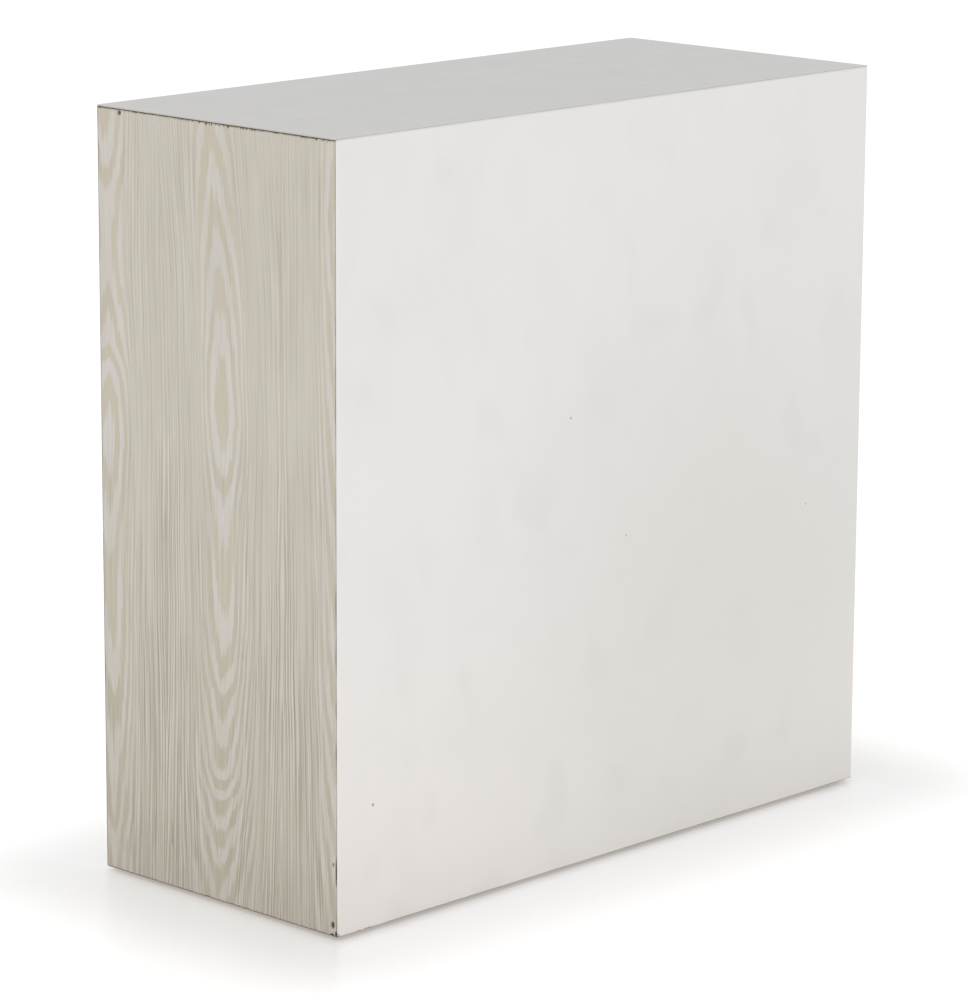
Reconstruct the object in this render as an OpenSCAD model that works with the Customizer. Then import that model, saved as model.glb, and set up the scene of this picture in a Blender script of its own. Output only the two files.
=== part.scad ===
// Exhibition display plinth: a painted board box with timber-faced ends, an inner
// batten frame and four screw-adjustable feet.
// Millimetres. Origin on the floor under the middle of the plinth, +Z up, the large
// front face towards -Y, the timber-faced ends towards -X and +X.

/* [Overall size] */
// Length of the front face, along X
plinth_w = 1000; // [800:10:1400]
// Depth from the front face to the back face, along Y
plinth_d = 430; // [340:10:700]
// Height from the floor to the top face
plinth_h = 1000; // [500:10:1300]

/* [Boards] */
// Thickness of the painted boards
board_t = 18; // [15:0.5:25]
// Radius of the eased outer edges
arris_r = 4; // [1:0.5:6]
// Distance from the edge of the box to the rebate for the timber sheet
lip_w = 2; // [1.5:0.5:8]
// Thickness of the timber sheet on each end, which is also the depth of its rebate
sheet_t = 3; // [1.5:0.5:5]
// Shadow gap around the timber sheet
sheet_gap = 1; // [0.3:0.1:2]

/* [Inner frame] */
// Side of the square battens
batten_w = 32; // [25:1:45]
// Thickness of the middle rib
rib_t = 18; // [12:0.5:25]
// Side of the square corner blocks that hold the feet
block_w = 80; // [64:1:110]
// Height of the corner blocks
block_h = 40; // [36:1:60]
// Height of the blocks and base rails above the lower edge of the boards
block_rise = 25; // [24:1:45]

/* [Screws and biscuits] */
// Shank diameter of the wood screws
screw_d = 4; // [3:0.5:5]
// Board left in front of the point of a batten screw
screw_cover = 5; // [3:0.5:8]
// Length of the screws from an end board into a corner block
block_screw_len = 50; // [40:1:58]
// Largest spacing of the screws along a batten
screw_pitch = 300; // [150:10:400]
// Offset between the two rows of screws in one batten
screw_stagger = 20; // [14:1:30]
// Radial clearance of a screw in its drilled hole
screw_play = 0.1; // [0.05:0.05:0.3]
// Length of a jointing biscuit
biscuit_len = 56; // [45:1:60]
// Width of a jointing biscuit, half of it in each board
biscuit_w = 23; // [19:1:24]
// Thickness of a jointing biscuit
biscuit_t = 4; // [3:0.1:4.5]
// Distance of the biscuits from the inner corner, along the mitre
biscuit_in = 6; // [5:0.5:9]
// Number of biscuits in each mitre
biscuit_count = 5; // [3:1:8]
// Clearance all round a biscuit in its slot
biscuit_play = 0.3; // [0.1:0.1:0.5]

/* [Levelling feet] */
// Gap between the floor and the lower edge of the boards
foot_gap = 5; // [3:0.5:20]
// Thread diameter of the foot
thread_d = 8; // [6:0.5:10]
// Diameter of the foot pad
pad_d = 40; // [34:1:60]
// Height of the foot pad, without its sole
pad_h = 12; // [11:0.5:14]
// Thickness of the soft sole under the pad
sole_t = 3; // [2:0.5:4]
// Length of the threaded shank above the spanner flats
shank_len = 42; // [36:1:48]
// Size across the spanner flats
flats_w = 13; // [11:0.5:16]
// Height of the spanner flats
flats_h = 5; // [4:0.5:6]
// Running clearance, in radius, of the foot in its nut and of its collar in the pad
run_play = 0.05; // [0.02:0.01:0.1]
// End play of the collar in the pad, at each side
end_play = 0.1; // [0.05:0.05:0.3]
// Diameter of the flange on the insert nut
nut_flange_d = 22; // [18:1:28]
// Depth of the insert nut's barrel in the block
nut_h = 10; // [8:0.5:14]

/* [Hidden] */
$fn = 64;
SIDES = [["left", -1], ["right", 1]];
FACES = [["front", -1], ["back", 1]];
CORNERS = [for (f = FACES) for (s = SIDES) [str(f[0], "_", s[0]), s[1], f[1]]];

half_w = plinth_w / 2;
half_d = plinth_d / 2;
base_z = foot_gap;
inner_x = half_w - sheet_t - board_t;
inner_y = half_d - board_t;
inner_z = plinth_h - board_t;
batten_x = inner_x - batten_w;
batten_y = inner_y - batten_w;
batten_z = inner_z - batten_w;
rail_z = base_z + block_rise;
block_top = rail_z + block_h;
block_x = inner_x - block_w;
block_y = inner_y - block_w;
foot_x = inner_x - block_w / 2;
foot_y = inner_y - block_w / 2;
half_rib = rib_t / 2;
sheet_y = half_d - lip_w - sheet_gap;
sheet_z = plinth_h - lip_w - sheet_gap;
past = 1;

screw_len = batten_w + board_t - screw_cover;
screw_r = screw_d / 2;
screw_head_r = screw_d;
screw_tip = 4;
recess_d = screw_d * 0.7;
recess_h = screw_d * 0.55;

thread_r = thread_d / 2;
stem_r = thread_r - run_play;
neck_r = thread_r + 1;
collar_r = thread_r + 3;
collar_h = 3;
pocket_z = sole_t + 2;
pocket_h = collar_h + 2 * end_play;
pad_top = sole_t + pad_h;
flats_z = pad_top + 0.3;
shank_z = flats_z + flats_h;
foot_top = shank_z + shank_len;
nut_barrel_r = thread_r + 1.2;
nut_flange_t = 1.5;
block_play = 0.1;

paint = [0.86, 0.85, 0.84];
larch = [0.76, 0.73, 0.67];
pine = [0.80, 0.66, 0.45];
mdf = [0.62, 0.50, 0.36];
beech = [0.74, 0.55, 0.37];
zinc = [0.72, 0.73, 0.75];
nylon = [0.12, 0.12, 0.13];
felt = [0.25, 0.25, 0.26];

// ---- Screw positions: each list holds the points where the heads sit ----

// Even places for screws from a to b
function screw_count(span) = max(2, ceil(span / screw_pitch));
function places(a, b) = [
    for (i = [0 : screw_count(b - a) - 1]) a + (b - a) * (i + 0.5) / screw_count(b - a)
];

function corner_screws_x(sx, sy) = [
    for (z = places(block_top, inner_z))
        [sx * batten_x, sy * (inner_y - batten_w / 2), z - screw_stagger / 2]
];
function corner_screws_y(sx, sy) = [
    for (z = places(block_top, inner_z))
        [sx * (inner_x - batten_w / 2), sy * batten_y, z + screw_stagger / 2]
];
function top_screws_y(sx, sy) = [
    for (x = places(half_rib, batten_x))
        [sx * (x + screw_stagger / 2), sy * batten_y, inner_z - batten_w / 2]
];
function top_screws_up(sx, sy) = [
    for (x = places(half_rib, batten_x))
        [sx * (x - screw_stagger / 2), sy * (inner_y - batten_w / 2), batten_z]
];
function top_end_screws_x(sx) = [
    for (y = places(-batten_y, batten_y))
        [sx * batten_x, y + screw_stagger / 2, inner_z - batten_w / 2]
];
function top_end_screws_up(sx) = [
    for (y = places(-batten_y, batten_y))
        [sx * (inner_x - batten_w / 2), y - screw_stagger / 2, batten_z]
];
function base_screws_y(sx, sy) = [
    for (x = places(half_rib, block_x)) [sx * x, sy * batten_y, rail_z + batten_w / 2]
];
function base_end_screws_x(sx) = [
    for (y = places(-block_y, block_y)) [sx * batten_x, y, rail_z + batten_w / 2]
];
function cleat_screws_y(sy) = [
    for (z = places(rail_z + batten_w, batten_z))
        [half_rib + batten_w / 2, sy * batten_y, z + screw_stagger / 2]
];
function cleat_screws_x(sy) = [
    for (z = places(rail_z + batten_w, batten_z))
        [half_rib + batten_w, sy * (inner_y - batten_w / 2), z - screw_stagger / 2]
];
function block_screws_x(sx, sy) = [
    for (side = [-1, 1])
        [sx * (half_w - sheet_t), sy * (foot_y + side * block_w / 4), rail_z + block_h / 2]
];

// Every screw that ends in the front (-1) or back (1) panel
function panel_screws(sy) = concat(
    [for (s = SIDES) each corner_screws_y(s[1], sy)],
    [for (s = SIDES) each top_screws_y(s[1], sy)],
    [for (s = SIDES) each base_screws_y(s[1], sy)],
    cleat_screws_y(sy)
);
// Every batten screw that ends in the left (-1) or right (1) end board
function end_screws(sx) = concat(
    [for (f = FACES) each corner_screws_x(sx, f[1])],
    top_end_screws_x(sx),
    base_end_screws_x(sx)
);
// Every screw that ends in the top panel
function lid_screws() = concat(
    [for (c = CORNERS) each top_screws_up(c[1], c[2])],
    [for (s = SIDES) each top_end_screws_up(s[1])]
);
function rib_screws() = [for (f = FACES) each cleat_screws_x(f[1])];

// ---- Shared shapes ----

// A box from its lowest corner to its highest corner
module span(low, high) {
    translate(low)
        cube(high - low);
}

// Turns +Z towards dir, which is one of +X, -X, +Y, -Y and +Z
module aim(dir) {
    rotate([-90 * dir.y, 90 * dir.x, 0])
        children();
}

module at_screws(points, dir) {
    for (p = points)
        translate(p)
            aim(dir)
                children();
}

// Countersunk wood screw: the head's face at the origin, the point along +Z
module wood_screw(len) {
    difference() {
        rotate_extrude()
            polygon([
                [0, 0], [screw_head_r, 0], [screw_r, screw_head_r - screw_r],
                [screw_r, len - screw_tip], [0, len]
            ]);
        translate([0, 0, -past])
            cylinder(d = recess_d, h = recess_h + past, $fn = 6);
    }
}

// The drilled and countersunk hole for such a screw
module drill(len) {
    hole_r = screw_r + screw_play;
    sink_r = screw_head_r + screw_play;
    rotate_extrude()
        polygon([
            [0, -past], [sink_r, -past], [sink_r, screw_play],
            [hole_r, sink_r - hole_r + screw_play], [hole_r, len + screw_play],
            [0, len + screw_play]
        ]);
}

module rounded_rect(low, high, r) {
    translate([low.x + r, low.y])
        square([high.x - low.x - 2 * r, high.y - low.y]);
    translate([low.x, low.y + r])
        square([high.x - low.x, high.y - low.y - 2 * r]);
    for (x = [low.x + r, high.x - r])
        for (y = [low.y + r, high.y - r])
            translate([x, y])
                circle(r);
}

// Extrudes a Y-Z outline along X over the whole length of the plinth
module along_x() {
    rotate([90, 0, 90])
        linear_extrude(plinth_w, center = true)
            children();
}

// Outside of the box, with its eased edges
module envelope() {
    intersection() {
        along_x()
            rounded_rect([-half_d, base_z], [half_d, plinth_h], arris_r);
        rotate([90, 0, 0])
            linear_extrude(plinth_d, center = true)
                rounded_rect([-half_w, base_z], [half_w, plinth_h], arris_r);
        translate([0, 0, base_z])
            linear_extrude(plinth_h - base_z)
                rounded_rect([-half_w, -half_d], [half_w, half_d], arris_r);
    }
}

// The shallow rebates that take the timber sheets
module sheet_rebates() {
    for (s = SIDES)
        mirror([1 - s[1], 0, 0])
            span([half_w - sheet_t, -half_d + lip_w, base_z - past],
                 [half_w + past, half_d - lip_w, plinth_h - lip_w]);
}

// Lens-shaped biscuit lying in the X-Y plane, grown all round by gap
module biscuit(gap) {
    len = biscuit_len / 2 + gap;
    wide = biscuit_w / 2 + gap;
    r = (len * len + wide * wide) / (2 * wide);
    linear_extrude(biscuit_t + 2 * gap, center = true)
        intersection() {
            translate([0, r - wide])
                circle(r, $fn = 128);
            translate([0, wide - r])
                circle(r, $fn = 128);
        }
}

// Biscuits of the front mitre, square to its glue face
module mitre_row(gap) {
    pitch = (plinth_w - 2 * sheet_t) / biscuit_count;
    for (i = [0 : biscuit_count - 1])
        translate([
            (i + 0.5 - biscuit_count / 2) * pitch,
            -inner_y - biscuit_in * cos(45),
            inner_z + biscuit_in * sin(45)
        ])
            rotate([45, 0, 0])
                biscuit(gap);
}

// ---- The painted box ----

// Front panel, mitred to the top; sy = 1 gives the back panel
module panel(sy) {
    color(paint)
        mirror([0, 1 + sy, 0])
            difference() {
                intersection() {
                    envelope();
                    along_x()
                        polygon([
                            [-half_d, base_z], [-inner_y, base_z],
                            [-inner_y, inner_z], [-half_d, plinth_h]
                        ]);
                }
                sheet_rebates();
                mitre_row(biscuit_play);
                at_screws(panel_screws(-1), [0, -1, 0])
                    drill(screw_len);
            }
}

module top_panel() {
    color(paint)
        difference() {
            intersection() {
                envelope();
                along_x()
                    polygon([
                        [-half_d, plinth_h], [-inner_y, inner_z],
                        [inner_y, inner_z], [half_d, plinth_h]
                    ]);
            }
            sheet_rebates();
            for (f = FACES)
                mirror([0, 1 + f[1], 0])
                    mitre_row(biscuit_play);
            at_screws(lid_screws(), [0, 0, 1])
                drill(screw_len);
        }
}

// End board between the panels, under the top and behind the timber sheet
module end_board(sx) {
    color(mdf)
        difference() {
            mirror([1 - sx, 0, 0])
                span([inner_x, -inner_y, base_z], [half_w - sheet_t, inner_y, inner_z]);
            at_screws(end_screws(sx), [sx, 0, 0])
                drill(screw_len);
            for (f = FACES)
                at_screws(block_screws_x(sx, f[1]), [-sx, 0, 0])
                    drill(block_screw_len);
        }
}

// Brushed timber sheet in the rebate of one end
module wood_sheet(sx) {
    color(larch)
        mirror([1 - sx, 0, 0])
            span([half_w - sheet_t, -sheet_y, base_z], [half_w, sheet_y, sheet_z]);
}

// Loose tongues across the two mitres
module mitre_biscuits() {
    color(beech)
        for (f = FACES)
            mirror([0, 1 + f[1], 0])
                mitre_row(0);
}

// ---- The inner frame ----

// Stiffening board across the middle
module centre_rib() {
    color(mdf)
        difference() {
            span([-half_rib, -inner_y, rail_z], [half_rib, inner_y, inner_z]);
            at_screws(rib_screws(), [-1, 0, 0])
                drill(screw_len);
        }
}

// Upright batten beside the rib
module rib_cleat(sy) {
    color(pine)
        difference() {
            mirror([0, 1 - sy, 0])
                span([half_rib, batten_y, rail_z + batten_w],
                     [half_rib + batten_w, inner_y, batten_z]);
            at_screws(cleat_screws_y(sy), [0, sy, 0])
                drill(screw_len);
            at_screws(cleat_screws_x(sy), [-1, 0, 0])
                drill(screw_len);
        }
}

// Upright batten in a corner, standing on the foot block
module corner_batten(sx, sy) {
    color(pine)
        difference() {
            mirror([1 - sx, 0, 0])
                mirror([0, 1 - sy, 0])
                    span([batten_x, batten_y, block_top], [inner_x, inner_y, inner_z]);
            at_screws(corner_screws_x(sx, sy), [sx, 0, 0])
                drill(screw_len);
            at_screws(corner_screws_y(sx, sy), [0, sy, 0])
                drill(screw_len);
        }
}

// Batten under the top, from the rib to a corner along the front or back
module top_batten(sx, sy) {
    color(pine)
        difference() {
            mirror([1 - sx, 0, 0])
                mirror([0, 1 - sy, 0])
                    span([half_rib, batten_y, batten_z], [batten_x, inner_y, inner_z]);
            at_screws(top_screws_y(sx, sy), [0, sy, 0])
                drill(screw_len);
            at_screws(top_screws_up(sx, sy), [0, 0, 1])
                drill(screw_len);
        }
}

// Batten under the top along one end
module top_end_batten(sx) {
    color(pine)
        difference() {
            mirror([1 - sx, 0, 0])
                span([batten_x, -batten_y, batten_z], [inner_x, batten_y, inner_z]);
            at_screws(top_end_screws_x(sx), [sx, 0, 0])
                drill(screw_len);
            at_screws(top_end_screws_up(sx), [0, 0, 1])
                drill(screw_len);
        }
}

// Rail between the rib and a foot block along the front or back
module base_rail(sx, sy) {
    color(pine)
        difference() {
            mirror([1 - sx, 0, 0])
                mirror([0, 1 - sy, 0])
                    span([half_rib, batten_y, rail_z], [block_x, inner_y, rail_z + batten_w]);
            at_screws(base_screws_y(sx, sy), [0, sy, 0])
                drill(screw_len);
        }
}

// Rail between two foot blocks along one end
module base_end_rail(sx) {
    color(pine)
        difference() {
            mirror([1 - sx, 0, 0])
                span([batten_x, -block_y, rail_z], [inner_x, block_y, rail_z + batten_w]);
            at_screws(base_end_screws_x(sx), [sx, 0, 0])
                drill(screw_len);
        }
}

// Corner block, bored for the insert nut and the foot's shank
module foot_block(sx, sy) {
    color(beech)
        difference() {
            mirror([1 - sx, 0, 0])
                mirror([0, 1 - sy, 0])
                    span([block_x, block_y, rail_z], [inner_x, inner_y, block_top]);
            translate([sx * foot_x, sy * foot_y, rail_z - past]) {
                cylinder(r = nut_barrel_r + block_play, h = nut_h + block_play + past);
                cylinder(r = thread_r + 0.5, h = block_h + 2 * past);
            }
            at_screws(block_screws_x(sx, sy), [-sx, 0, 0])
                drill(block_screw_len);
        }
}

// ---- Levelling feet ----

module at_foot(sx, sy) {
    translate([sx * foot_x, sy * foot_y, 0])
        children();
}

// Flanged insert nut, pressed into the block from below
module insert_nut() {
    rotate_extrude()
        polygon([
            [thread_r, rail_z - nut_flange_t], [nut_flange_d / 2, rail_z - nut_flange_t],
            [nut_flange_d / 2, rail_z], [nut_barrel_r, rail_z],
            [nut_barrel_r, rail_z + nut_h], [thread_r, rail_z + nut_h]
        ]);
}

module insert_nuts() {
    color(zinc)
        for (c = CORNERS)
            at_foot(c[1], c[2])
                insert_nut();
}

// Threaded stem with spanner flats; the collar at its lower end turns in the pad
module foot_stem(sx, sy) {
    collar_z = pocket_z + end_play;
    color(zinc)
        at_foot(sx, sy) {
            rotate_extrude()
                polygon([
                    [0, collar_z], [collar_r, collar_z], [collar_r, collar_z + collar_h],
                    [neck_r, collar_z + collar_h], [neck_r, flats_z + 1], [stem_r, flats_z + 1],
                    [stem_r, foot_top - 1], [stem_r - 1, foot_top], [0, foot_top]
                ]);
            translate([0, 0, flats_z])
                cylinder(d = flats_w / cos(30), h = flats_h, $fn = 6);
        }
}

// Round pad moulded around the stem's collar
module foot_pad(sx, sy) {
    boss_r = collar_r + 3;
    rim_r = pad_d / 2;
    rim_h = 4;
    color(nylon)
        at_foot(sx, sy)
            difference() {
                rotate_extrude()
                    polygon([
                        [0, sole_t], [rim_r, sole_t], [rim_r, sole_t + rim_h - 1],
                        [rim_r - 1, sole_t + rim_h], [boss_r + 1, pad_top - 2],
                        [boss_r, pad_top], [0, pad_top]
                    ]);
                translate([0, 0, pocket_z])
                    cylinder(r = collar_r + run_play, h = pocket_h);
                translate([0, 0, pocket_z])
                    cylinder(r = neck_r + run_play, h = pad_h + past);
            }
}

// Soft sole glued under the pad
module foot_sole(sx, sy) {
    color(felt)
        at_foot(sx, sy)
            cylinder(r = pad_d / 2, h = sole_t);
}

// ---- Screws ----

module batten_screws() {
    color(zinc) {
        for (f = FACES)
            at_screws(panel_screws(f[1]), [0, f[1], 0])
                wood_screw(screw_len);
        for (s = SIDES)
            at_screws(end_screws(s[1]), [s[1], 0, 0])
                wood_screw(screw_len);
        at_screws(lid_screws(), [0, 0, 1])
            wood_screw(screw_len);
        at_screws(rib_screws(), [-1, 0, 0])
            wood_screw(screw_len);
    }
}

module block_screws() {
    color(zinc)
        for (c = CORNERS)
            at_screws(block_screws_x(c[1], c[2]), [-c[1], 0, 0])
                wood_screw(block_screw_len);
}

// ---- Drawing ----

for (f = FACES) {
    panel(f[1]);
    rib_cleat(f[1]);
}
for (s = SIDES) {
    end_board(s[1]);
    wood_sheet(s[1]);
    top_end_batten(s[1]);
    base_end_rail(s[1]);
}
for (c = CORNERS) {
    corner_batten(c[1], c[2]);
    top_batten(c[1], c[2]);
    base_rail(c[1], c[2]);
    foot_block(c[1], c[2]);
    foot_stem(c[1], c[2]);
    foot_pad(c[1], c[2]);
    foot_sole(c[1], c[2]);
}
top_panel();
centre_rib();
insert_nuts();
batten_screws();
block_screws();
mitre_biscuits();
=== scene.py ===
"""Looks for the display plinth: painted boards, brushed timber ends, inner frame and feet."""
import math

import bpy
import numpy as np
from mathutils import Matrix, Vector


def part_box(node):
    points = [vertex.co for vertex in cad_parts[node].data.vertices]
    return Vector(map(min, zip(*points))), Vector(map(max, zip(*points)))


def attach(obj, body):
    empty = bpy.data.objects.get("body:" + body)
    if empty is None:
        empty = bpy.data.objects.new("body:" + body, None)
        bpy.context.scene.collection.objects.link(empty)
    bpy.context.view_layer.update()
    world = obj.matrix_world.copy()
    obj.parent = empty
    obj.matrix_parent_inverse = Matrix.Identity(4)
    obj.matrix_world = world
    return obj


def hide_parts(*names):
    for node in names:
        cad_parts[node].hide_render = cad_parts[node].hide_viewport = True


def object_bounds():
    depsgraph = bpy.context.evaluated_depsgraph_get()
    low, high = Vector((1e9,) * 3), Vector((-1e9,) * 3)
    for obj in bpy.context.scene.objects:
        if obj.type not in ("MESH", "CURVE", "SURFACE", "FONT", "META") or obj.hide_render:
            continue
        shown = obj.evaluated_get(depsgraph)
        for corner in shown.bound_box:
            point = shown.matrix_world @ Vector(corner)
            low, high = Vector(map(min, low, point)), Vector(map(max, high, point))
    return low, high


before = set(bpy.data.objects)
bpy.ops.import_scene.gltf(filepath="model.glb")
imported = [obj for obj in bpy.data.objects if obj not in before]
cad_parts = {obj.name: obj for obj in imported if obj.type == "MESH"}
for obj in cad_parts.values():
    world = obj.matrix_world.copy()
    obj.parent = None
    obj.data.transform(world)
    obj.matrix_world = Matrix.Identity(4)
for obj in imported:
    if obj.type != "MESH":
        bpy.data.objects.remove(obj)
cad_low, cad_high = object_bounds()

MM = 0.001
SEED = 7
WIDE, DEEP, HIGH = cad_high - cad_low
LIP = 2 * MM         # painted lip round the timber sheet
SHEET_T = 3 * MM     # timber sheet
BOARD_T = 18 * MM    # painted boards


# ---- Material shorthand ----

SOCKETS = {"metallic": "Metallic", "ior": "IOR"}


def opaque(colour):
    """A plain colour with its alpha; a linked colour stays as it is."""
    return (*colour, 1.0) if isinstance(colour, tuple) else colour


class Graph:
    """A material and short ways to add nodes to it."""

    def __init__(self, name):
        self.mat = bpy.data.materials.new(name)
        self.mat.use_nodes = True
        self.nodes = self.mat.node_tree.nodes
        self.links = self.mat.node_tree.links
        self.shader = self.nodes["Principled BSDF"]
        self.place = self.add("ShaderNodeTexCoord").outputs["Object"]

    def add(self, kind, **settings):
        node = self.nodes.new(kind)
        for key, value in settings.items():
            setattr(node, key, value)
        return node

    def feed(self, socket, value):
        """Links an output, or sets a plain number or colour."""
        if isinstance(value, bpy.types.NodeSocket):
            self.links.new(value, socket)
        else:
            socket.default_value = value

    def math(self, operation, a, b=0.0, c=0.0):
        node = self.add("ShaderNodeMath", operation=operation)
        for socket, value in zip(node.inputs, (a, b, c)):
            self.feed(socket, value)
        return node.outputs[0]

    def stretched(self, scale, offset=(0, 0, 0)):
        node = self.add("ShaderNodeMapping")
        self.feed(node.inputs["Vector"], self.place)
        node.inputs["Scale"].default_value = scale
        node.inputs["Location"].default_value = offset
        return node.outputs[0]

    def noise(self, vector, scale, detail=2.0, rough=0.5, distortion=0.0):
        node = self.add("ShaderNodeTexNoise")
        self.feed(node.inputs["Vector"], vector)
        node.inputs["Scale"].default_value = scale
        node.inputs["Detail"].default_value = detail
        node.inputs["Roughness"].default_value = rough
        node.inputs["Distortion"].default_value = distortion
        return node.outputs["Fac"]

    def between(self, value, low, high, to_low=0.0, to_high=1.0, smooth=True):
        kind = "SMOOTHSTEP" if smooth else "LINEAR"
        node = self.add("ShaderNodeMapRange", interpolation_type=kind)
        for name, item in zip(("Value", "From Min", "From Max", "To Min", "To Max"),
                              (value, low, high, to_low, to_high)):
            self.feed(node.inputs[name], item)
        return node.outputs["Result"]

    def mix(self, share, a, b, blend="MIX"):
        node = self.add("ShaderNodeMix", data_type="RGBA", blend_type=blend)
        self.feed(node.inputs["Factor"], share)
        self.feed(node.inputs[6], opaque(a))
        self.feed(node.inputs[7], opaque(b))
        return node.outputs[2]

    def axis(self, which):
        """The object's own x, y or z, in metres."""
        return self.split(self.place)[which]

    def split(self, vector):
        node = self.add("ShaderNodeSeparateXYZ")
        self.feed(node.inputs[0], vector)
        return node.outputs

    def join(self, x, y, z=0.0):
        node = self.add("ShaderNodeCombineXYZ")
        for socket, value in zip(node.inputs, (x, y, z)):
            self.feed(socket, value)
        return node.outputs[0]

    def near(self, value, target, width):
        """1 where a value lies within a width of the target, else 0."""
        off = self.math("ABSOLUTE", self.math("SUBTRACT", value, target))
        return self.between(off, width * 0.7, width, 1.0, 0.0)

    def spot(self, centre, radii, soft=0.45):
        """1 inside an ellipsoid, falling to 0 at its radii."""
        scale = tuple(1 / r for r in radii)
        moved = self.stretched(scale, tuple(-c * k for c, k in zip(centre, scale)))
        node = self.add("ShaderNodeVectorMath", operation="LENGTH")
        self.feed(node.inputs[0], moved)
        return self.between(node.outputs["Value"], soft, 1.0, 1.0, 0.0)

    def most(self, values):
        total = values[0]
        for value in values[1:]:
            total = self.math("MAXIMUM", total, value)
        return total

    def bump(self, height, distance, strength=1.0, normal=None):
        node = self.add("ShaderNodeBump")
        self.feed(node.inputs["Height"], height)
        node.inputs["Distance"].default_value = distance
        node.inputs["Strength"].default_value = strength
        if normal is not None:
            self.links.new(normal, node.inputs["Normal"])
        return node.outputs["Normal"]

    def finish(self, colour=None, rough=None, normal=None, **fixed):
        sockets = self.shader.inputs
        if colour is not None:
            self.feed(sockets["Base Color"], opaque(colour))
        if rough is not None:
            self.feed(sockets["Roughness"], rough)
        if normal is not None:
            self.links.new(normal, sockets["Normal"])
        for key, value in fixed.items():
            sockets[SOCKETS[key]].default_value = value
        return self.mat


def srgb(r, g, b):
    """An 8-bit screen colour as linear light."""
    def linear(v):
        v /= 255
        return v / 12.92 if v <= 0.04045 else ((v + 0.055) / 1.055) ** 2.4
    return (linear(r), linear(g), linear(b))


# ---- Materials ----

PAINT = srgb(232, 231, 229)
# Warmer paint for the lower boards: painted warm light
PAINT_WARM_LIGHT = srgb(235, 230, 226)
PAINT_BLOTCH_AND_SHADE = srgb(221, 219, 214)
LIME = srgb(210, 206, 199)
LATE_WOOD = srgb(200, 192, 174)
# Late wood for the lower sheet: darker, as painted shade
LATE_WOOD_SHADED = srgb(188, 181, 161)
WOOD_LINE = srgb(150, 140, 124)
# Whiter tone for the pale lines: pale grain together with a painted highlight
PALE_AND_HIGHLIGHT = srgb(220, 217, 211)


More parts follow.
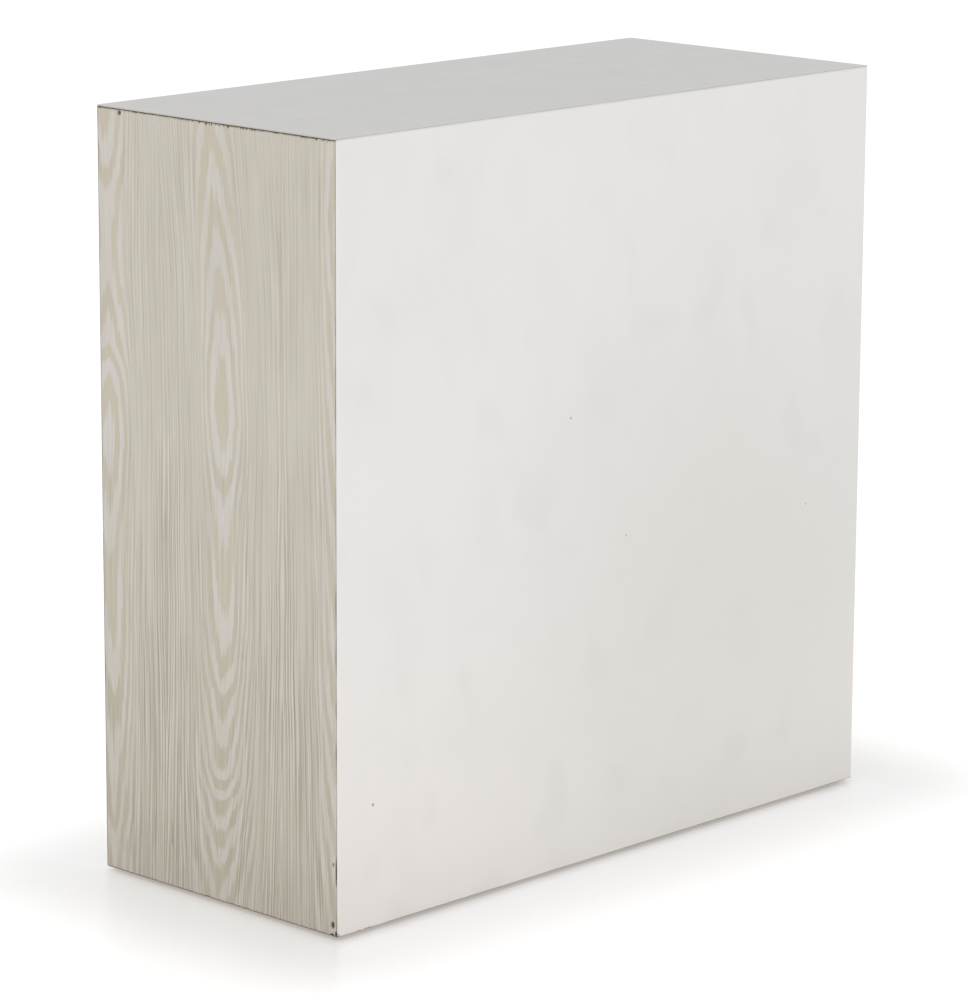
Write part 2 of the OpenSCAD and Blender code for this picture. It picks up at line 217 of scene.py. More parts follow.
def paint_material():
    """Satin off-white paint on board: brush-and-roller stipple, faint smudges, pits and chips, with
    painted light: warmer towards the bottom, a soft painted shade patch, painted shade on the top
    lip over each end and a painted shadow along the lower edge.

    Inside the box, in the rebates and under the lower edge the board is bare.
    """
    g = Graph("white_paint")
    x, y, z = g.split(g.place)
    y_off = g.math("ABSOLUTE", y)
    tall = g.stretched((1, 1, 0.6))
    cloud = g.noise(g.stretched((1, 1, 1), (3.1, 1.7, 0.4)), 2.4, 2.0, 0.5)
    blotch = g.noise(tall, 11.0, 3.0, 0.55)
    smudge = g.noise(g.stretched((1, 1, 0.75), (0.3, 0.9, 2.2)), 13.0, 1.0, 0.4)
    # Painted shade: a broad soft patch, dimmer right of middle and low down on the front and back
    painted_dim_patch = g.spot((0.24, 0, 0.36), (0.66, 9.0, 0.66), 0.1)
    painted_dim_patch = g.math("MULTIPLY", painted_dim_patch, g.between(cloud, 0.3, 0.7, 0.75, 1.1))
    # Painted warm light: the paint turns warmer towards the bottom
    colour = g.mix(g.between(z, 0.55, 0.1, 0.0, 1.0), PAINT, PAINT_WARM_LIGHT)
    colour = g.mix(g.math("MULTIPLY", painted_dim_patch, 0.8), colour, PAINT_BLOTCH_AND_SHADE)
    # Both marks are fainter on the top
    blotch_share = g.between(blotch, 0.42, 0.72, 0.0, g.between(z, 0.97, 0.995, 0.22, 0.08))
    colour = g.mix(blotch_share, colour, PAINT_BLOTCH_AND_SHADE)
    smudge_share = g.between(smudge, 0.56, 0.74, 0.0, g.between(z, 0.97, 0.995, 0.11, 0.03))
    colour = g.mix(smudge_share, colour, srgb(200, 198, 194))

    pits = [((-0.084, -0.215, 0.601), 0.0016), ((0.024, -0.215, 0.430), 0.0013),
            ((-0.439, -0.215, 0.164), 0.0022), ((0.387, -0.215, 0.414), 0.0012),
            ((0.21, 0.215, 0.72), 0.0016), ((-0.31, 0.215, 0.33), 0.0014),
            ((0.12, 0.06, 1.0), 0.0012)]
    pit = g.most([g.spot(at, (r, r, r * 1.3)) for at, r in pits])
    rough_edge = g.noise(g.place, 700.0, 2.0, 0.6)
    chips = [((-0.447, -0.2135, 0.0055), (0.0085, 0.004, 0.0024)),
             ((-0.463, -0.2135, 0.0055), (0.004, 0.004, 0.002)),
             ((-0.4985, -0.2135, 0.0070), (0.003, 0.004, 0.003)),
             ((0.4985, -0.2135, 0.0060), (0.0025, 0.003, 0.0025)),
             ((0.27, 0.2135, 0.0055), (0.006, 0.004, 0.0024))]
    chip = g.math("MULTIPLY", g.most([g.spot(*c, 0.7) for c in chips]),
                  g.between(rough_edge, 0.38, 0.5))
    behind_lip = [g.between(place, face - LIP + 0.1 * MM, face - LIP - 0.1 * MM)
                  for place, face in ((y_off, DEEP / 2), (z, HIGH))]
    rebate = g.math("MULTIPLY", g.near(g.math("ABSOLUTE", x), WIDE / 2 - SHEET_T, 0.4 * MM),
                    g.math("MULTIPLY", *behind_lip))
    worn = g.math("MAXIMUM", g.between(z, 0.0053, 0.0051, 0.0, 1.0), rebate)
    behind_board = [g.between(place, face - BOARD_T + 0.4 * MM, face - BOARD_T + 0.1 * MM)
                    for place, face in ((y_off, DEEP / 2), (z, HIGH))]
    inside = g.math("MULTIPLY", *behind_board)
    bare = g.most([chip, worn, inside])
    mitre = g.near(g.math("SUBTRACT", z, y_off), HIGH - DEEP / 2, 0.55 * MM)
    broken = g.between(g.noise(g.place, 40.0, 3.0, 0.6), 0.3, 0.6, 0.5, 1.0)
    mitre = g.math("MULTIPLY", mitre, broken)
    # Painted shade: the paint on the rounded top lip over each timber end is darkened
    end_edge = g.between(g.math("ABSOLUTE", x), WIDE / 2 - 2.5 * MM, WIDE / 2 - 1.2 * MM)
    top_lip_shade = g.math("MULTIPLY", end_edge, g.between(z, HIGH - 6 * MM, HIGH - 3 * MM))
    # Painted shadow under the lower arris, with some worn paint: a dark band along the lowest 2 mm
    # of the boards
    low_edge_shadow_and_wear = g.math("MULTIPLY", g.between(z, 7.2 * MM, 6.2 * MM),
                      g.between(blotch, 0.35, 0.6, 0.4, 0.9))
    fibre = g.noise(g.place, 900.0, 4.0, 0.75)
    raw_board = g.mix(g.between(fibre, 0.35, 0.7), srgb(122, 98, 72), srgb(172, 146, 112))
    colour = g.mix(g.math("MULTIPLY", top_lip_shade, 0.6), colour, srgb(196, 188, 176))
    colour = g.mix(low_edge_shadow_and_wear, colour, srgb(112, 106, 100))
    colour = g.mix(g.math("MULTIPLY", mitre, 0.45), colour, srgb(150, 147, 142))
    colour = g.mix(g.math("MULTIPLY", pit, 0.75), colour, srgb(118, 112, 104))
    colour = g.mix(bare, colour, raw_board)
    stipple = g.noise(g.place, 420.0, 3.0, 0.6)
    lay = g.noise(g.place, 60.0, 2.0, 0.5)
    normal = g.bump(stipple, 0.00006, 0.6)
    normal = g.bump(lay, 0.0002, 0.35, normal)
    normal = g.bump(g.math("MULTIPLY", g.most([pit, chip, mitre]), -1.0), 0.0006, 0.8, normal)
    rough = g.between(g.noise(g.place, 18.0, 4.0, 0.6), 0.3, 0.7, 0.34, 0.48)
    rough = g.math("ADD", rough, g.math("MULTIPLY", bare, 0.4))
    return g.finish(colour, rough, normal, ior=1.5)


def wood_material(name, light, dark, along, ring, seed):
    """Planed softwood or beech with its grain along one axis, 0, 1 or 2."""
    g = Graph(name)
    scale = [1.0, 1.0, 1.0]
    scale[along] = 0.06
    lines = g.noise(g.stretched(tuple(scale), (seed, seed * 0.7, seed * 1.3)), ring, 2.0, 0.5, 0.4)
    scale[along] = 0.02
    fibre = g.noise(g.stretched(tuple(scale), (seed, 2.0, 1.0)), ring * 6, 3.0, 0.7)
    colour = g.mix(g.between(lines, 0.42, 0.6), light, dark)
    colour = g.mix(g.between(fibre, 0.5, 0.75, 0.0, 0.4), colour, dark)
    normal = g.bump(g.math("ADD", lines, fibre), 0.0002, 0.5)
    return g.finish(colour, g.between(fibre, 0.3, 0.7, 0.55, 0.75), normal)


def board_material():
    """Bare fibreboard: fine speckle of short fibres."""
    g = Graph("raw_board")
    speck = g.noise(g.place, 900.0, 4.0, 0.75)
    patch = g.noise(g.place, 9.0, 3.0, 0.6)
    colour = g.mix(g.between(speck, 0.35, 0.7), srgb(150, 118, 84), srgb(190, 158, 118))
    colour = g.mix(g.between(patch, 0.4, 0.7, 0.0, 0.4), colour, srgb(140, 108, 76))
    return g.finish(colour, g.between(speck, 0.3, 0.7, 0.75, 0.9), g.bump(speck, 0.0001, 0.6))


def metal_material(name, tone, warm):
    """Plated steel with a fine cloudy lustre and small scratches."""
    g = Graph(name)
    cloud = g.noise(g.place, 160.0, 3.0, 0.6)
    scratch = g.noise(g.stretched((1, 1, 0.08)), 2600.0, 2.0, 0.7)
    colour = g.mix(g.between(cloud, 0.35, 0.7), tone, warm)
    rough = g.between(scratch, 0.3, 0.8, 0.22, 0.42)
    return g.finish(colour, rough, g.bump(scratch, 0.00003, 0.5), metallic=1.0)


def moulded_material(name, tone, pale, rough_low, rough_high, grain):
    """Moulded plastic or rubber with a fine grain."""
    g = Graph(name)
    fine = g.noise(g.place, grain, 3.0, 0.6)
    dust = g.noise(g.place, 70.0, 4.0, 0.7)
    colour = g.mix(g.between(dust, 0.55, 0.8, 0.0, 0.5), tone, pale)
    rough = g.between(fine, 0.3, 0.7, rough_low, rough_high)
    return g.finish(colour, rough, g.bump(fine, 0.0001, 0.5))


def floor_material():
    """Pale glowing floor with a painted shadow: it glows less close to the plinth; from below it is
    clear.
    """
    g = Graph("studio_floor")
    cloud = g.noise(g.place, 1.3, 2.0, 0.5)
    rough = g.between(cloud, 0.3, 0.7, 0.24, 0.28)
    clear = g.add("ShaderNodeBsdfTransparent")
    one_sided = g.add("ShaderNodeMixShader")
    g.feed(one_sided.inputs[0], g.add("ShaderNodeNewGeometry").outputs["Backfacing"])
    g.feed(one_sided.inputs[1], g.shader.outputs[0])
    g.feed(one_sided.inputs[2], clear.outputs[0])
    g.feed(g.nodes["Material Output"].inputs["Surface"], one_sided.outputs[0])
    length = g.add("ShaderNodeVectorMath", operation="LENGTH")
    past = [g.math("MAXIMUM", g.math("SUBTRACT", g.math("ABSOLUTE", g.axis(k)), half), 0.0)
            for k, half in ((0, WIDE / 2), (1, DEEP / 2))]
    g.feed(length.inputs[0], g.join(*past))
    # Painted shadow: the floor's glow falls off within 0.3 m of the plinth's footprint
    glow_with_painted_shadow = g.between(length.outputs["Value"], 0.04, 0.3, 0.285, 0.5)
    g.feed(g.shader.inputs["Emission Strength"], glow_with_painted_shadow)
    g.shader.inputs["Emission Color"].default_value = (1, 1, 1, 1)
    return g.finish(srgb(232, 232, 232), rough)


# ---- Placing ----

def dress(node, material):
    """Gives a CAD node a material."""
    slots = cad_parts[node].data.materials
    slots.clear()
    slots.append(material)


def ease(node, width):
    """Rounds a node's sharp edges a little."""
    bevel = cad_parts[node].modifiers.new("eased_edges", "BEVEL")
    bevel.width = width
    bevel.segments = 2
    bevel.limit_method = "ANGLE"
    bevel.angle_limit = math.radians(50)


STEM_SIDES = 48


def threaded_stem(node, material):
    """A foot's stem: collar, neck, chamfered spanner flats and an M8 thread."""
    low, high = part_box(node)
    axis = (low + high) / 2
    pitch, crest, root = 1.25 * MM, 3.95 * MM, 3.25 * MM
    flat = (high.y - low.y) / 2
    turn = np.linspace(0, 2 * math.pi, STEM_SIDES, endpoint=False)
    hexagon = flat / np.cos((turn + math.pi / 6) % (math.pi / 3) - math.pi / 6)
    collar, neck = 7 * MM, 5 * MM
    foot, top = low.z, high.z
    hex_low, hex_high = foot + 10.2 * MM, foot + 15.2 * MM
    rows = [(foot, collar - 0.4 * MM), (foot + 0.4 * MM, collar), (foot + 2.6 * MM, collar),
            (foot + 3 * MM, collar - 0.4 * MM), (foot + 3 * MM, neck), (hex_low, neck),
            (hex_low, np.minimum(hexagon, flat - 0.1 * MM)), (hex_low + 0.6 * MM, hexagon),
            (hex_high - 0.6 * MM, hexagon), (hex_high, np.minimum(hexagon, flat - 0.1 * MM)),
            (hex_high, crest - 0.1 * MM)]
    for z in np.arange(hex_high + 0.6 * MM, top - 0.01 * MM, pitch / 8):
        flank = np.abs(((z / pitch - turn / (2 * math.pi)) % 1) * 2 - 1)
        depth = root + (crest - root) * np.clip(1.5 * flank - 0.2, 0, 1)
        rows.append((z, np.minimum(depth, crest - max(0, z - top + 1.0 * MM))))
    rows.append((top, root - 0.3 * MM))
    rings = [np.stack([axis.x + r * np.cos(turn), axis.y + r * np.sin(turn),
                       np.full(STEM_SIDES, z)], 1) for z, r in rows]
    index = np.arange(len(rows) * STEM_SIDES).reshape(-1, STEM_SIDES)
    beside = np.roll(index, -1, axis=1)
    quads = np.stack([index[:-1], beside[:-1], beside[1:], index[1:]], -1).reshape(-1, 4)
    mesh = bpy.data.meshes.new(f"{node}_thread")
    mesh.from_pydata(np.concatenate(rings).tolist(), [],
                     quads.tolist() + [index[0, ::-1].tolist(), index[-1].tolist()])
    mesh.polygons.foreach_set("use_smooth", [True] * len(quads) + [False, False])
    mesh.materials.append(material)
    mesh.update()
    mesh.set_sharp_from_angle(angle=math.radians(40))
    piece = bpy.data.objects.new(mesh.name, mesh)
    bpy.context.scene.collection.objects.link(piece)
    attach(piece, node.replace("foot_stem", "stem"))
    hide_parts(node)


def dress_all():
    """Gives every CAD node its look, apart from the timber sheets."""
    paint = paint_material()
    board = board_material()
    pine = [wood_material(f"pine_{axis}", srgb(222, 190, 140), srgb(190, 146, 92), k,
                          220.0, k * 3.3) for k, axis in enumerate("xyz")]
    beech = wood_material("beech", srgb(205, 162, 118), srgb(180, 130, 88), 0, 500.0, 5.0)
    biscuit = wood_material("pressed_beech", srgb(210, 172, 128), srgb(188, 144, 98), 0,
                            900.0, 9.0)
    zinc = metal_material("zinc_steel", srgb(205, 208, 212), srgb(188, 192, 200))
    screw = metal_material("screw_steel", srgb(214, 190, 130), srgb(196, 168, 116))
    nylon = moulded_material("black_nylon", srgb(34, 34, 36), srgb(60, 60, 62), 0.38, 0.55, 1500.0)
    sole = moulded_material("grey_sole", srgb(62, 62, 64), srgb(92, 90, 88), 0.8, 0.95, 800.0)
    fixed = {"front_panel": paint, "back_panel": paint, "top_panel": paint, "centre_rib": board,
             "insert_nuts": zinc, "batten_screws": screw, "block_screws": screw,
             "mitre_biscuits": biscuit}
    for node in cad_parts:
        low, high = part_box(node)
        longest = max(range(3), key=lambda k: high[k] - low[k])
        if node in fixed:
            dress(node, fixed[node])
        elif "end_board" in node:
            dress(node, board)
        elif "batten" in node or "rail" in node or "cleat" in node:
            dress(node, pine[longest])
            ease(node, 1.2 * MM)
        elif "foot_block" in node:
            dress(node, beech)
            ease(node, 1.0 * MM)
        elif "foot_stem" in node:
            threaded_stem(node, zinc)
        elif "foot_pad" in node:
            dress(node, nylon)
            ease(node, 0.5 * MM)
        elif "foot_sole" in node:
            dress(node, sole)


# ---- Brushed timber sheets ----

class Field:
    """Smooth seeded noise on a plane, from -1 to 1."""

    def __init__(self, seed):
        self.table = np.random.default_rng(seed).uniform(-1, 1, (256, 256))

    def __call__(self, u, v):
        iu, iv = np.floor(u).astype(int), np.floor(v).astype(int)
        fu, fv = u - iu, v - iv
        fu, fv = fu * fu * (3 - 2 * fu), fv * fv * (3 - 2 * fv)
        at = lambda a, b: self.table[(iu + a) % 256, (iv + b) % 256]
        low = at(0, 0) * (1 - fu) + at(1, 0) * fu
        high = at(0, 1) * (1 - fu) + at(1, 1) * fu
        return low * (1 - fv) + high * fv


RING_W = 6.2 * MM    # one growth ring on the face
POINT = 3 * MM       # how blunt a ring's tip is
# Each leaf: where its middle line is at its eye, its lean, and the growth rings met along that
# line, as (height as a share of the plinth, ring)
LEAVES = (
    (17 * MM, 0, ((0, 4.9), (0.053, 4.5), (0.078, 4), (0.173, 3.5), (0.235, 3), (0.309, 2.5),
                  (0.413, 2), (0.472, 1.5), (0.524, 1), (0.575, 0.6), (0.627, 1), (0.665, 1.5),
                  (0.678, 2), (0.697, 2.5), (0.738, 3), (0.77, 3.5), (0.83, 3.8), (0.895, 3.5),
                  (0.919, 3), (0.956, 2.5), (1, 2.1))),
    (228 * MM, -21 * MM, ((0, 9.7), (0.016, 9.5), (0.051, 9), (0.073, 8.5), (0.1, 8),
                          (0.115, 7.5), (0.139, 7), (0.149, 6.5), (0.166, 6), (0.174, 5.5),
                          (0.208, 5), (0.242, 4.5), (0.277, 4), (0.296, 3.5), (0.329, 3),
                          (0.371, 2.5), (0.461, 2), (0.528, 1.5), (0.556, 1), (0.585, 0.5),
                          (0.633, 0.1), (0.717, 0.5), (0.772, 1), (0.824, 1.5), (0.863, 2),
                          (0.914, 2.5), (0.958, 3), (1, 3.45))),
    (441 * MM, 0, ((0, 8.4), (0.15, 6.6), (0.3, 5), (0.45, 3.6), (0.62, 2.4), (0.8, 1), (0.9, 0.3),
                   (1, 0.9))),
)


def smooth_curve(points, at):
    """Straight lines between the points, rounded off over about 10 mm."""
    fine = np.linspace(-0.1, 1.1, 1201)
    line = np.interp(fine, *zip(*points))
    width = np.exp(-0.5 * (np.arange(-20, 21) / 5) ** 2)
    line = np.convolve(np.pad(line, 20, mode="edge"), width / width.sum(), mode="valid")
    return np.interp(at, fine, line)


def ring_field(across, up, seed):
    """Ring count, grain lines, figure strength and plainness of a flat-sawn, slip-matched face."""
    wander, slow, broad, patch, curl = (Field(seed + k) for k in range(5))
    share = up / HIGH
    rings, nearest = np.zeros(across.shape), np.full(across.shape, 9.0)
    for start, lean, knots in LEAVES:
        eye = min(knots, key=lambda k: k[1])[0]
        middle = start + lean * ((share - eye) / 0.4) ** 2 * np.where(share > eye, 1, 0.3)
        middle = middle + 1.6 * MM * wander(share * 9 + start * 100, share * 0)
        off = across - middle
        heart = MM * np.interp(share, (0.05, 0.6), (20, 58))
        depth = heart + RING_W * smooth_curve(knots, share)
        spread = np.sqrt(off ** 2 + (1.2 * MM) ** 2) + POINT
        fade = 1 - np.clip((spread - 22 * MM) / (84 * MM), 0, 1)
        fade = fade * fade * (3 - 2 * fade)
        count = (spread + fade * (np.sqrt(spread ** 2 + depth ** 2) - spread - heart)) / RING_W
        flank = np.clip(np.abs(off) / (22 * MM), 0, 1)
        count = count + 0.35 * flank * slow(off / (18 * MM), up / (240 * MM) + start * 50)
        count = count + 0.1 * curl(off / (7 * MM), up / (60 * MM) + start * 90)
        closer = np.abs(off) < nearest
        rings = np.where(closer, count, rings)
        nearest = np.minimum(nearest, np.abs(off))
    near_leaf = 1 - np.clip((nearest - 24 * MM) / (40 * MM), 0, 1)
    quiet = np.clip(0.5 + 1.1 * patch(across / (13 * MM), up / (330 * MM)), 0, 1)
    quiet = quiet * np.clip(1.25 - 0.9 * share, 0.35, 1.2)
    quiet = quiet + 0.25 * broad(across / (60 * MM), up / (260 * MM))
    grain = rings + 0.9 * nearest / RING_W
    strength = np.clip(np.maximum(near_leaf, quiet), 0.1, 1.0)
    return rings, grain, strength, 1 - near_leaf


# Chips and marks on each sheet: (y, z), half sizes along y and z, depth and darkness, the darkness
# partly painted shade in the hollow
LEFT_MARKS = (
    ((-163.4 * MM, 616 * MM), (3.2 * MM, 0.9 * MM), 0.2 * MM, 0.35),
    ((-164.3 * MM, 610 * MM), (2.8 * MM, 0.9 * MM), 0.2 * MM, 0.35),
    ((-206.4 * MM, 98 * MM), (2.6 * MM, 4.4 * MM), 1.0 * MM, 1.0),
    ((-205.2 * MM, 20 * MM), (4.4 * MM, 6.8 * MM), 1.8 * MM, 1.2),
    ((-204.4 * MM, 6.5 * MM), (3.6 * MM, 3.4 * MM), 1.6 * MM, 1.2),
    ((-210.6 * MM, 8.5 * MM), (3.6 * MM, 6.6 * MM), 2.2 * MM, 1.2),
    ((-211.6 * MM, 90 * MM), (1.7 * MM, 26 * MM), 1.2 * MM, 1.2),
    ((87 * MM, 73 * MM), (1.2 * MM, 34 * MM), 0.5 * MM, 0.75),
    ((172.3 * MM, 993.5 * MM), (4.6 * MM, 4.8 * MM), 2.2 * MM, 1.1),
)
RIGHT_MARKS = (
    ((-120 * MM, 733 * MM), (1.2 * MM, 2.4 * MM), 0.8 * MM, 0.7),
    ((207.5 * MM, 7 * MM), (2.2 * MM, 3.0 * MM), 1.8 * MM, 1.0),
    ((52 * MM, 240 * MM), (0.7 * MM, 26 * MM), 0.5 * MM, 0.5),
)


def stops(low, high, fine, coarse, close):
    """Places from low to high: a fine step apart near each (place, reach), else every few steps."""
    last = round((high - low) / fine)
    places = np.linspace(low, high, last + 1)
    step = np.arange(last + 1)
    keep = (step % coarse == 0) | (step == last)
    for place, reach in close:
        keep |= np.abs(places - place) < reach
    return places[keep]


def notches(across, seed, count, widest, deepest):
    """Depth of small random splits along an edge."""
    rng = np.random.default_rng(seed)
    depth = np.zeros(across.shape)
    for _ in range(count):
        centre = rng.uniform(across.min(), across.max())
        width = rng.uniform(0.35, 1.0) * widest
        deep = deepest * rng.uniform(0.15, 1.0) ** 2
        depth = np.maximum(depth, deep * np.clip(1 - np.abs(across - centre) / width, 0, 1) ** 0.7)
    return depth


def sheet_mesh(name, xs_outer, x_inner, ys, zs):
    """A closed sheet: a fine outer face on a grid, plain edges, and one flat back."""
    z_grid, y_grid = np.meshgrid(zs, ys, indexing="ij")
    count = z_grid.size
    front = np.stack([np.full(count, xs_outer), y_grid.ravel(), z_grid.ravel()], 1)
    index = np.arange(count).reshape(z_grid.shape)
    rim = np.concatenate([index[0, :], index[1:, -1], index[-1, -2::-1], index[-2:0:-1, 0]])
    back = front[rim].copy()
    back[:, 0] = x_inner
    quads = np.stack([index[:-1, :-1], index[:-1, 1:], index[1:, 1:], index[1:, :-1]], -1)
    quads = quads.reshape(-1, 4)
    ring = np.arange(len(rim))
    after = (ring + 1) % len(rim)
    skirt = np.stack([rim[after], rim[ring], count + ring, count + after], 1)
    faces = quads.tolist() + skirt.tolist() + [(count + ring[::-1]).tolist()]
    mesh = bpy.data.meshes.new(name)
    mesh.from_pydata(np.concatenate([front, back]).tolist(), [], faces)
    mesh.update()
    return mesh, count


def store(mesh, name, values):
    """Keeps one number for each vertex, for the material to read."""
    layer = mesh.attributes.new(name, "FLOAT", "POINT")
    layer.data.foreach_set("value", values.astype(np.float32))


def brushed_sheet(side, outward, seed, marks, material):
    """The brushed timber sheet of one end: its figure in relief, worn edges, splits and chips, with
    painted shade along its edges and in its splits and chips.
    """
    node = f"{side}_wood_sheet"
    low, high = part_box(node)
    outer, inner = (high.x, low.x) if outward > 0 else (low.x, high.x)
    ys = np.linspace(low.y, high.y, 385)[::outward]
    close = [(low.z, 9 * MM), (high.z, 13 * MM)] + [(m[0][1], 7 * MM) for m in marks]
    zs = stops(low.z, high.z, 1.25 * MM, 4, close)
    mesh, count = sheet_mesh(f"{side}_brushed_sheet", outer, inner, ys, zs)
    co = np.zeros(len(mesh.vertices) * 3)
    mesh.vertices.foreach_get("co", co)
    co = co.reshape(-1, 3)
    y, z = co[:, 1].copy(), co[:, 2].copy()
    across = (DEEP / 2 - y) if outward < 0 else (DEEP / 2 + y)
    rings, grain, strength, plain = ring_field(across, z, seed)
    rings = rings + 0.11 * Field(seed + 5)(across / (2.4 * MM), z / (38 * MM))
    band = 0.5 - 0.5 * np.cos(2 * np.pi * (rings - 0.25))
    fibre = Field(seed + 6)(across / (1.7 * MM), z / (60 * MM))
    relief = 0.05 * MM + 0.13 * MM * (1 - band) * (0.4 + 0.6 * strength) + 0.04 * MM * (1 + fibre)

    worn = np.clip(0.5 + 1.3 * Field(seed + 11)(across / (55 * MM), across * 0), 0.12, 1)
    split_top = worn * notches(across, seed + 7, 170, 1.2 * MM, 4.0 * MM)
    split_low = worn * notches(across, seed + 8, 110, 1.4 * MM, 2.2 * MM)
    split_top += 0.3 * MM * (1 + Field(seed + 9)(across / (3 * MM), across * 0))
    split_low += 0.25 * MM * (1 + Field(seed + 9)(across / (3 * MM), across * 0 + 7.5))
    from_top, from_low = high.z - z, z - low.z
    drop = split_top * np.clip(1 - from_top / (13 * MM), 0, 1)
    lift = split_low * np.clip(1 - from_low / (9 * MM), 0, 1)
    edge = np.minimum.reduce([from_top, from_low, high.y - y, y - low.y])
    relief += 0.45 * MM * np.clip(1 - edge / (1.6 * MM), 0, 1) ** 2
    # Darkening near the sheet's edges: stain together with painted shade in the gap round the
    # sheet; the top and bottom rows also get painted shade in their splits
    dirt_and_shade = 0.8 * np.clip(1 - (edge - 0.2 * MM) / (1.2 * MM), 0, 1) * np.clip(
        0.55 + 0.5 * Field(seed + 10)(across / (3 * MM), z / (30 * MM)), 0, 1)
    dirt_and_shade = np.maximum(dirt_and_shade, np.clip(0.3 + 0.2 * split_top / MM, 0, 0.62) * (from_top < 1.4 * MM))
    dirt_and_shade = np.maximum(dirt_and_shade, np.clip(0.7 + 0.4 * split_low / MM, 0, 1) * (from_low < 1.4 * MM))
    # Each mark is recessed and darkened; the darkening is partly painted shade in the hollow
    for (my, mz), (ry, rz), deep, dark in marks:
        hit = np.clip(1.6 * (1 - np.hypot((y - my) / ry, (z - mz) / rz)), 0, 1)
        relief = np.maximum(relief, deep * hit)
        dirt_and_shade = np.maximum(dirt_and_shade, dark * hit)
    face = np.arange(len(co)) < count
    co[:, 0] -= np.where(face, outward * relief, 0)
    co[:, 2] += lift - drop
    mesh.vertices.foreach_set("co", co.ravel())
    store(mesh, "rings", rings)
    store(mesh, "grain", grain)
    store(mesh, "figure", strength)
    store(mesh, "plain", plain)
    store(mesh, "dirt_and_shade", dirt_and_shade)
    store(mesh, "rise", z / HIGH)
    mesh.polygons.foreach_set("use_smooth", [len(p.vertices) == 4 and p.index < count
                                             for p in mesh.polygons])
    mesh.materials.append(material)
    mesh.update()
    piece = bpy.data.objects.new(mesh.name, mesh)
    bpy.context.scene.collection.objects.link(piece)
    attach(piece, "root")
    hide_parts(node)


def brushed_material():
    """Limed, brushed softwood: pale lime in the soft wood, beige late wood, lines and fibres, with
    painted shade towards the bottom and at edges, splits and chips, and a painted highlight in part
    of the pale lines.
    """
    g = Graph("limed_larch")
    rings, grain, figure, plain, dirt_and_shade, rise = (
        g.add("ShaderNodeAttribute", attribute_name=name).outputs["Fac"]
        for name in ("rings", "grain", "figure", "plain", "dirt_and_shade", "rise"))
    height = g.axis(2)
    jag = g.noise(g.stretched((1, 1, 0.05)), 520.0, 2.0, 0.6)
    edge = g.math("ADD", rings, g.between(jag, 0.2, 0.8, -0.37, -0.13, smooth=False))
    wave = g.math("MULTIPLY", g.math("PINGPONG", edge, 0.5), 2.0)
    band = g.between(wave, 0.36, 0.64)
    lime = g.math("ADD", 0.5, g.math("MULTIPLY", g.math("SUBTRACT", band, 0.5), figure))

    lines = g.noise(g.join(g.math("MULTIPLY", grain, 1.5), g.math("MULTIPLY", height, 3.0)),
                    1.0, 1.0, 0.5)
    threads = g.noise(g.join(g.math("MULTIPLY", grain, 2.6), g.math("MULTIPLY", height, 5.0), 3.0),
                      1.0, 1.0, 0.6)
    fibre = g.noise(g.stretched((1, 1, 0.02)), 1100.0, 3.0, 0.7)
    patch = g.noise(g.stretched((1, 1, 0.22)), 22.0, 2.0, 0.5)
    force = g.math("MULTIPLY", g.between(rise, 0.1, 0.7, 1.35, 0.5),
                   g.between(patch, 0.36, 0.56, 0.45, 1.0))
    force = g.math("MULTIPLY", force, g.between(plain, 0.0, 0.6, 0.35, 1.0))
    dark_line = g.math("MULTIPLY", g.between(lines, 0.555, 0.615), force)
    # Pale lines, raised in the relief: partly pale grain, partly a painted highlight on the raised
    # fibres
    pale_line_and_highlight = g.math("MULTIPLY", g.between(lines, 0.445, 0.385), force)
    thread = g.math("MULTIPLY", g.between(threads, 0.57, 0.64), force)
    late = g.math("MULTIPLY", g.between(wave, 0.42, 0.12),
                  g.math("MULTIPLY", g.math("MULTIPLY", plain, figure), force))

    # Painted shade: the late wood turns darker towards the bottom
    late_wood = g.mix(g.between(rise, 0.5, 0.1), LATE_WOOD, LATE_WOOD_SHADED)
    colour = g.mix(lime, late_wood, LIME)
    colour = g.mix(g.math("MULTIPLY", late, 0.35), colour, WOOD_LINE)
    colour = g.mix(g.math("MULTIPLY", dark_line, 0.55), colour, WOOD_LINE)
    colour = g.mix(g.math("MULTIPLY", pale_line_and_highlight, 0.65), colour, PALE_AND_HIGHLIGHT)
    colour = g.mix(g.math("MULTIPLY", thread, 0.48), colour, WOOD_LINE)
    colour = g.mix(g.between(fibre, 0.52, 0.8, 0.0, 0.22), colour, WOOD_LINE)
    tone = g.noise(g.stretched((1, 1, 0.25)), 16.0, 2.0, 0.5)
    colour = g.mix(g.between(tone, 0.4, 0.7, 0.0, 0.3), colour, srgb(190, 183, 168))
    # Painted shade: the whole face turns darker towards the bottom
    colour = g.mix(g.between(rise, 0.6, 0.0, 0.0, 0.3), colour, srgb(190, 178, 162))
    # Darker at the edges, splits and chips: dirt together with painted shade
    grime_and_shade = g.between(g.math("ADD", dirt_and_shade, g.between(jag, 0.3, 0.7, -0.2, 0.2)), 0.3, 0.75)
    colour = g.mix(g.math("MULTIPLY", grime_and_shade, 0.85), colour, srgb(118, 110, 98))
    colour = g.mix(g.between(dirt_and_shade, 0.85, 1.05), colour, srgb(84, 70, 56))

    height_map = g.math("SUBTRACT", g.math("MULTIPLY", pale_line_and_highlight, 0.4),
                        g.math("ADD", dark_line, thread))
    normal = g.bump(height_map, 0.00025, 0.6)
    normal = g.bump(fibre, 0.00012, 0.5, normal)
    rough = g.between(fibre, 0.3, 0.7, 0.6, 0.78)
    return g.finish(colour, rough, normal)


# ---- Studio ----

FLOOR_R = 40         # metres
FLOOR_SIDES = 96

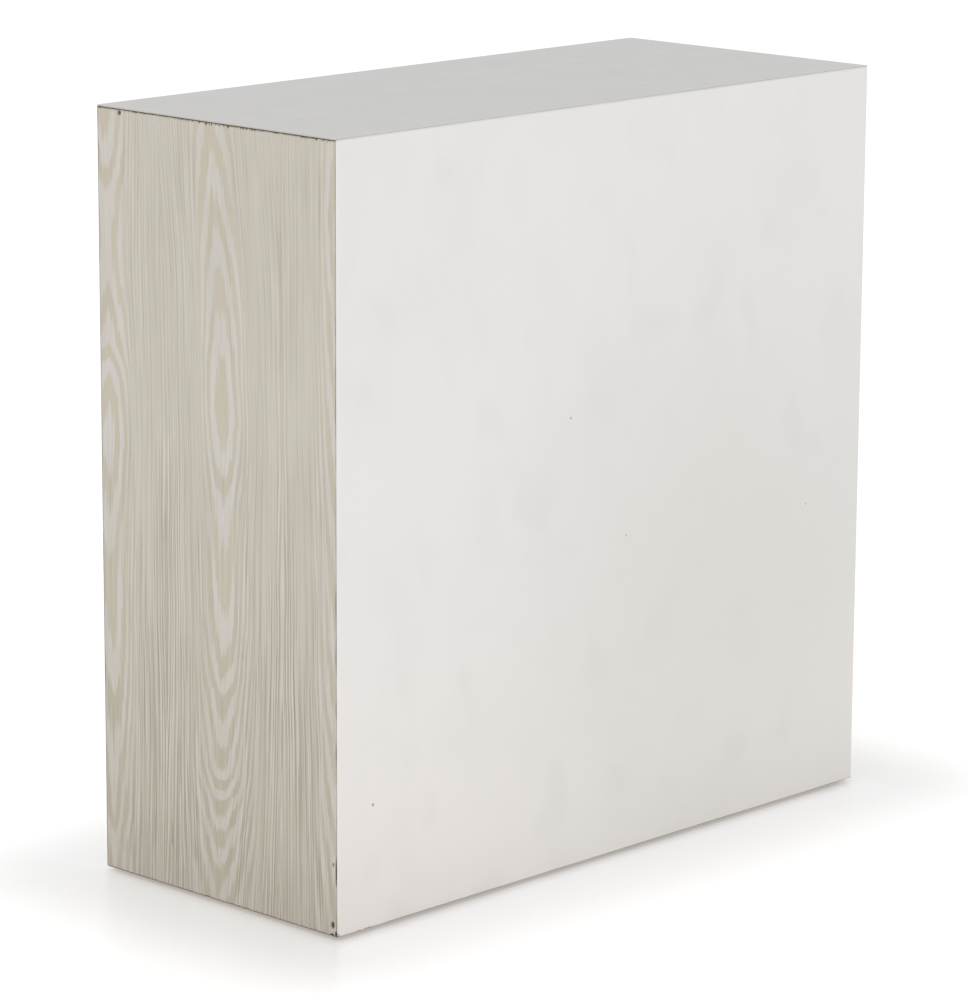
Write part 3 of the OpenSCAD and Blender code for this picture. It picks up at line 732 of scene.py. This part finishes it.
def studio():
    """Even white surroundings, three soft lamps and a round floor."""
    world = bpy.data.worlds.new("studio")
    bpy.context.scene.world = world
    world.use_nodes = True
    back = world.node_tree.nodes["Background"]
    back.inputs["Color"].default_value = (1, 1, 1, 1)
    back.inputs["Strength"].default_value = 0.70

    def lamp(name, at, target, size, power):
        data = bpy.data.lights.new(name, "AREA")
        data.shape = "RECTANGLE"
        data.size, data.size_y = size
        data.energy = power
        ob = bpy.data.objects.new(name, data)
        ob.location = at
        ob.rotation_euler = (Vector(target) - Vector(at)).to_track_quat("-Z", "Y").to_euler()
        bpy.context.scene.collection.objects.link(ob)

    centre = (0, 0, HIGH / 2)
    lamp("front_softbox", (-0.9, -3.4, 1.4), centre, (2.4, 2.0), 7.5)
    lamp("low_softbox", (-0.2, -2.2, 0.3), (-0.2, -0.2, 0.2), (2.2, 0.5), 1.8)
    lamp("side_softbox", (-3.6, 0.2, 1.5), centre, (2.0, 2.0), 8)

    floor_mesh = bpy.data.meshes.new("studio_floor")
    ring = [(FLOOR_R * math.cos(a), FLOOR_R * math.sin(a), 0)
            for a in np.linspace(0, 2 * math.pi, FLOOR_SIDES, endpoint=False)]
    floor_mesh.from_pydata(ring, [], [list(range(FLOOR_SIDES))])
    floor_mesh.materials.append(floor_material())
    floor = bpy.data.objects.new("studio_floor", floor_mesh)
    bpy.context.scene.collection.objects.link(floor)


# How the camera sees the plinth's middle; distances are in plinth heights
AZIMUTH, ELEVATION, ROLL = math.radians(-46.314), math.radians(12.719), math.radians(0.303)
DISTANCE, SLIDE_RIGHT, SLIDE_UP = 6.0239, -0.0114, -0.0548
SENSOR_MM, LENS_MM = 36, 163.49


def camera():
    """A long lens about 6 m away and 1.8 m up, looking down a little onto the left front corner."""
    back = Vector((math.sin(AZIMUTH) * math.cos(ELEVATION),
                   -math.cos(AZIMUTH) * math.cos(ELEVATION),
                   math.sin(ELEVATION)))
    right = Vector((0, 0, 1)).cross(back).normalized()
    up = back.cross(right)
    right_rolled = math.cos(ROLL) * right + math.sin(ROLL) * up
    up_rolled = -math.sin(ROLL) * right + math.cos(ROLL) * up
    data = bpy.data.cameras.new("camera")
    data.sensor_width = SENSOR_MM
    data.lens = LENS_MM
    data.clip_end = 100
    cam = bpy.data.objects.new("camera", data)
    turn = Matrix((right_rolled, up_rolled, back)).transposed().to_4x4()
    middle = Vector((0, 0, HIGH / 2))
    place = middle + HIGH * (DISTANCE * back + SLIDE_RIGHT * right_rolled + SLIDE_UP * up_rolled)
    cam.matrix_world = Matrix.Translation(place) @ turn
    bpy.context.scene.collection.objects.link(cam)
    bpy.context.scene.camera = cam


bpy.context.scene.view_settings.view_transform = "Standard"
dress_all()
timber = brushed_material()
brushed_sheet("left", -1, SEED, LEFT_MARKS, timber)
brushed_sheet("right", 1, SEED + 40, RIGHT_MARKS, timber)
studio()
camera()
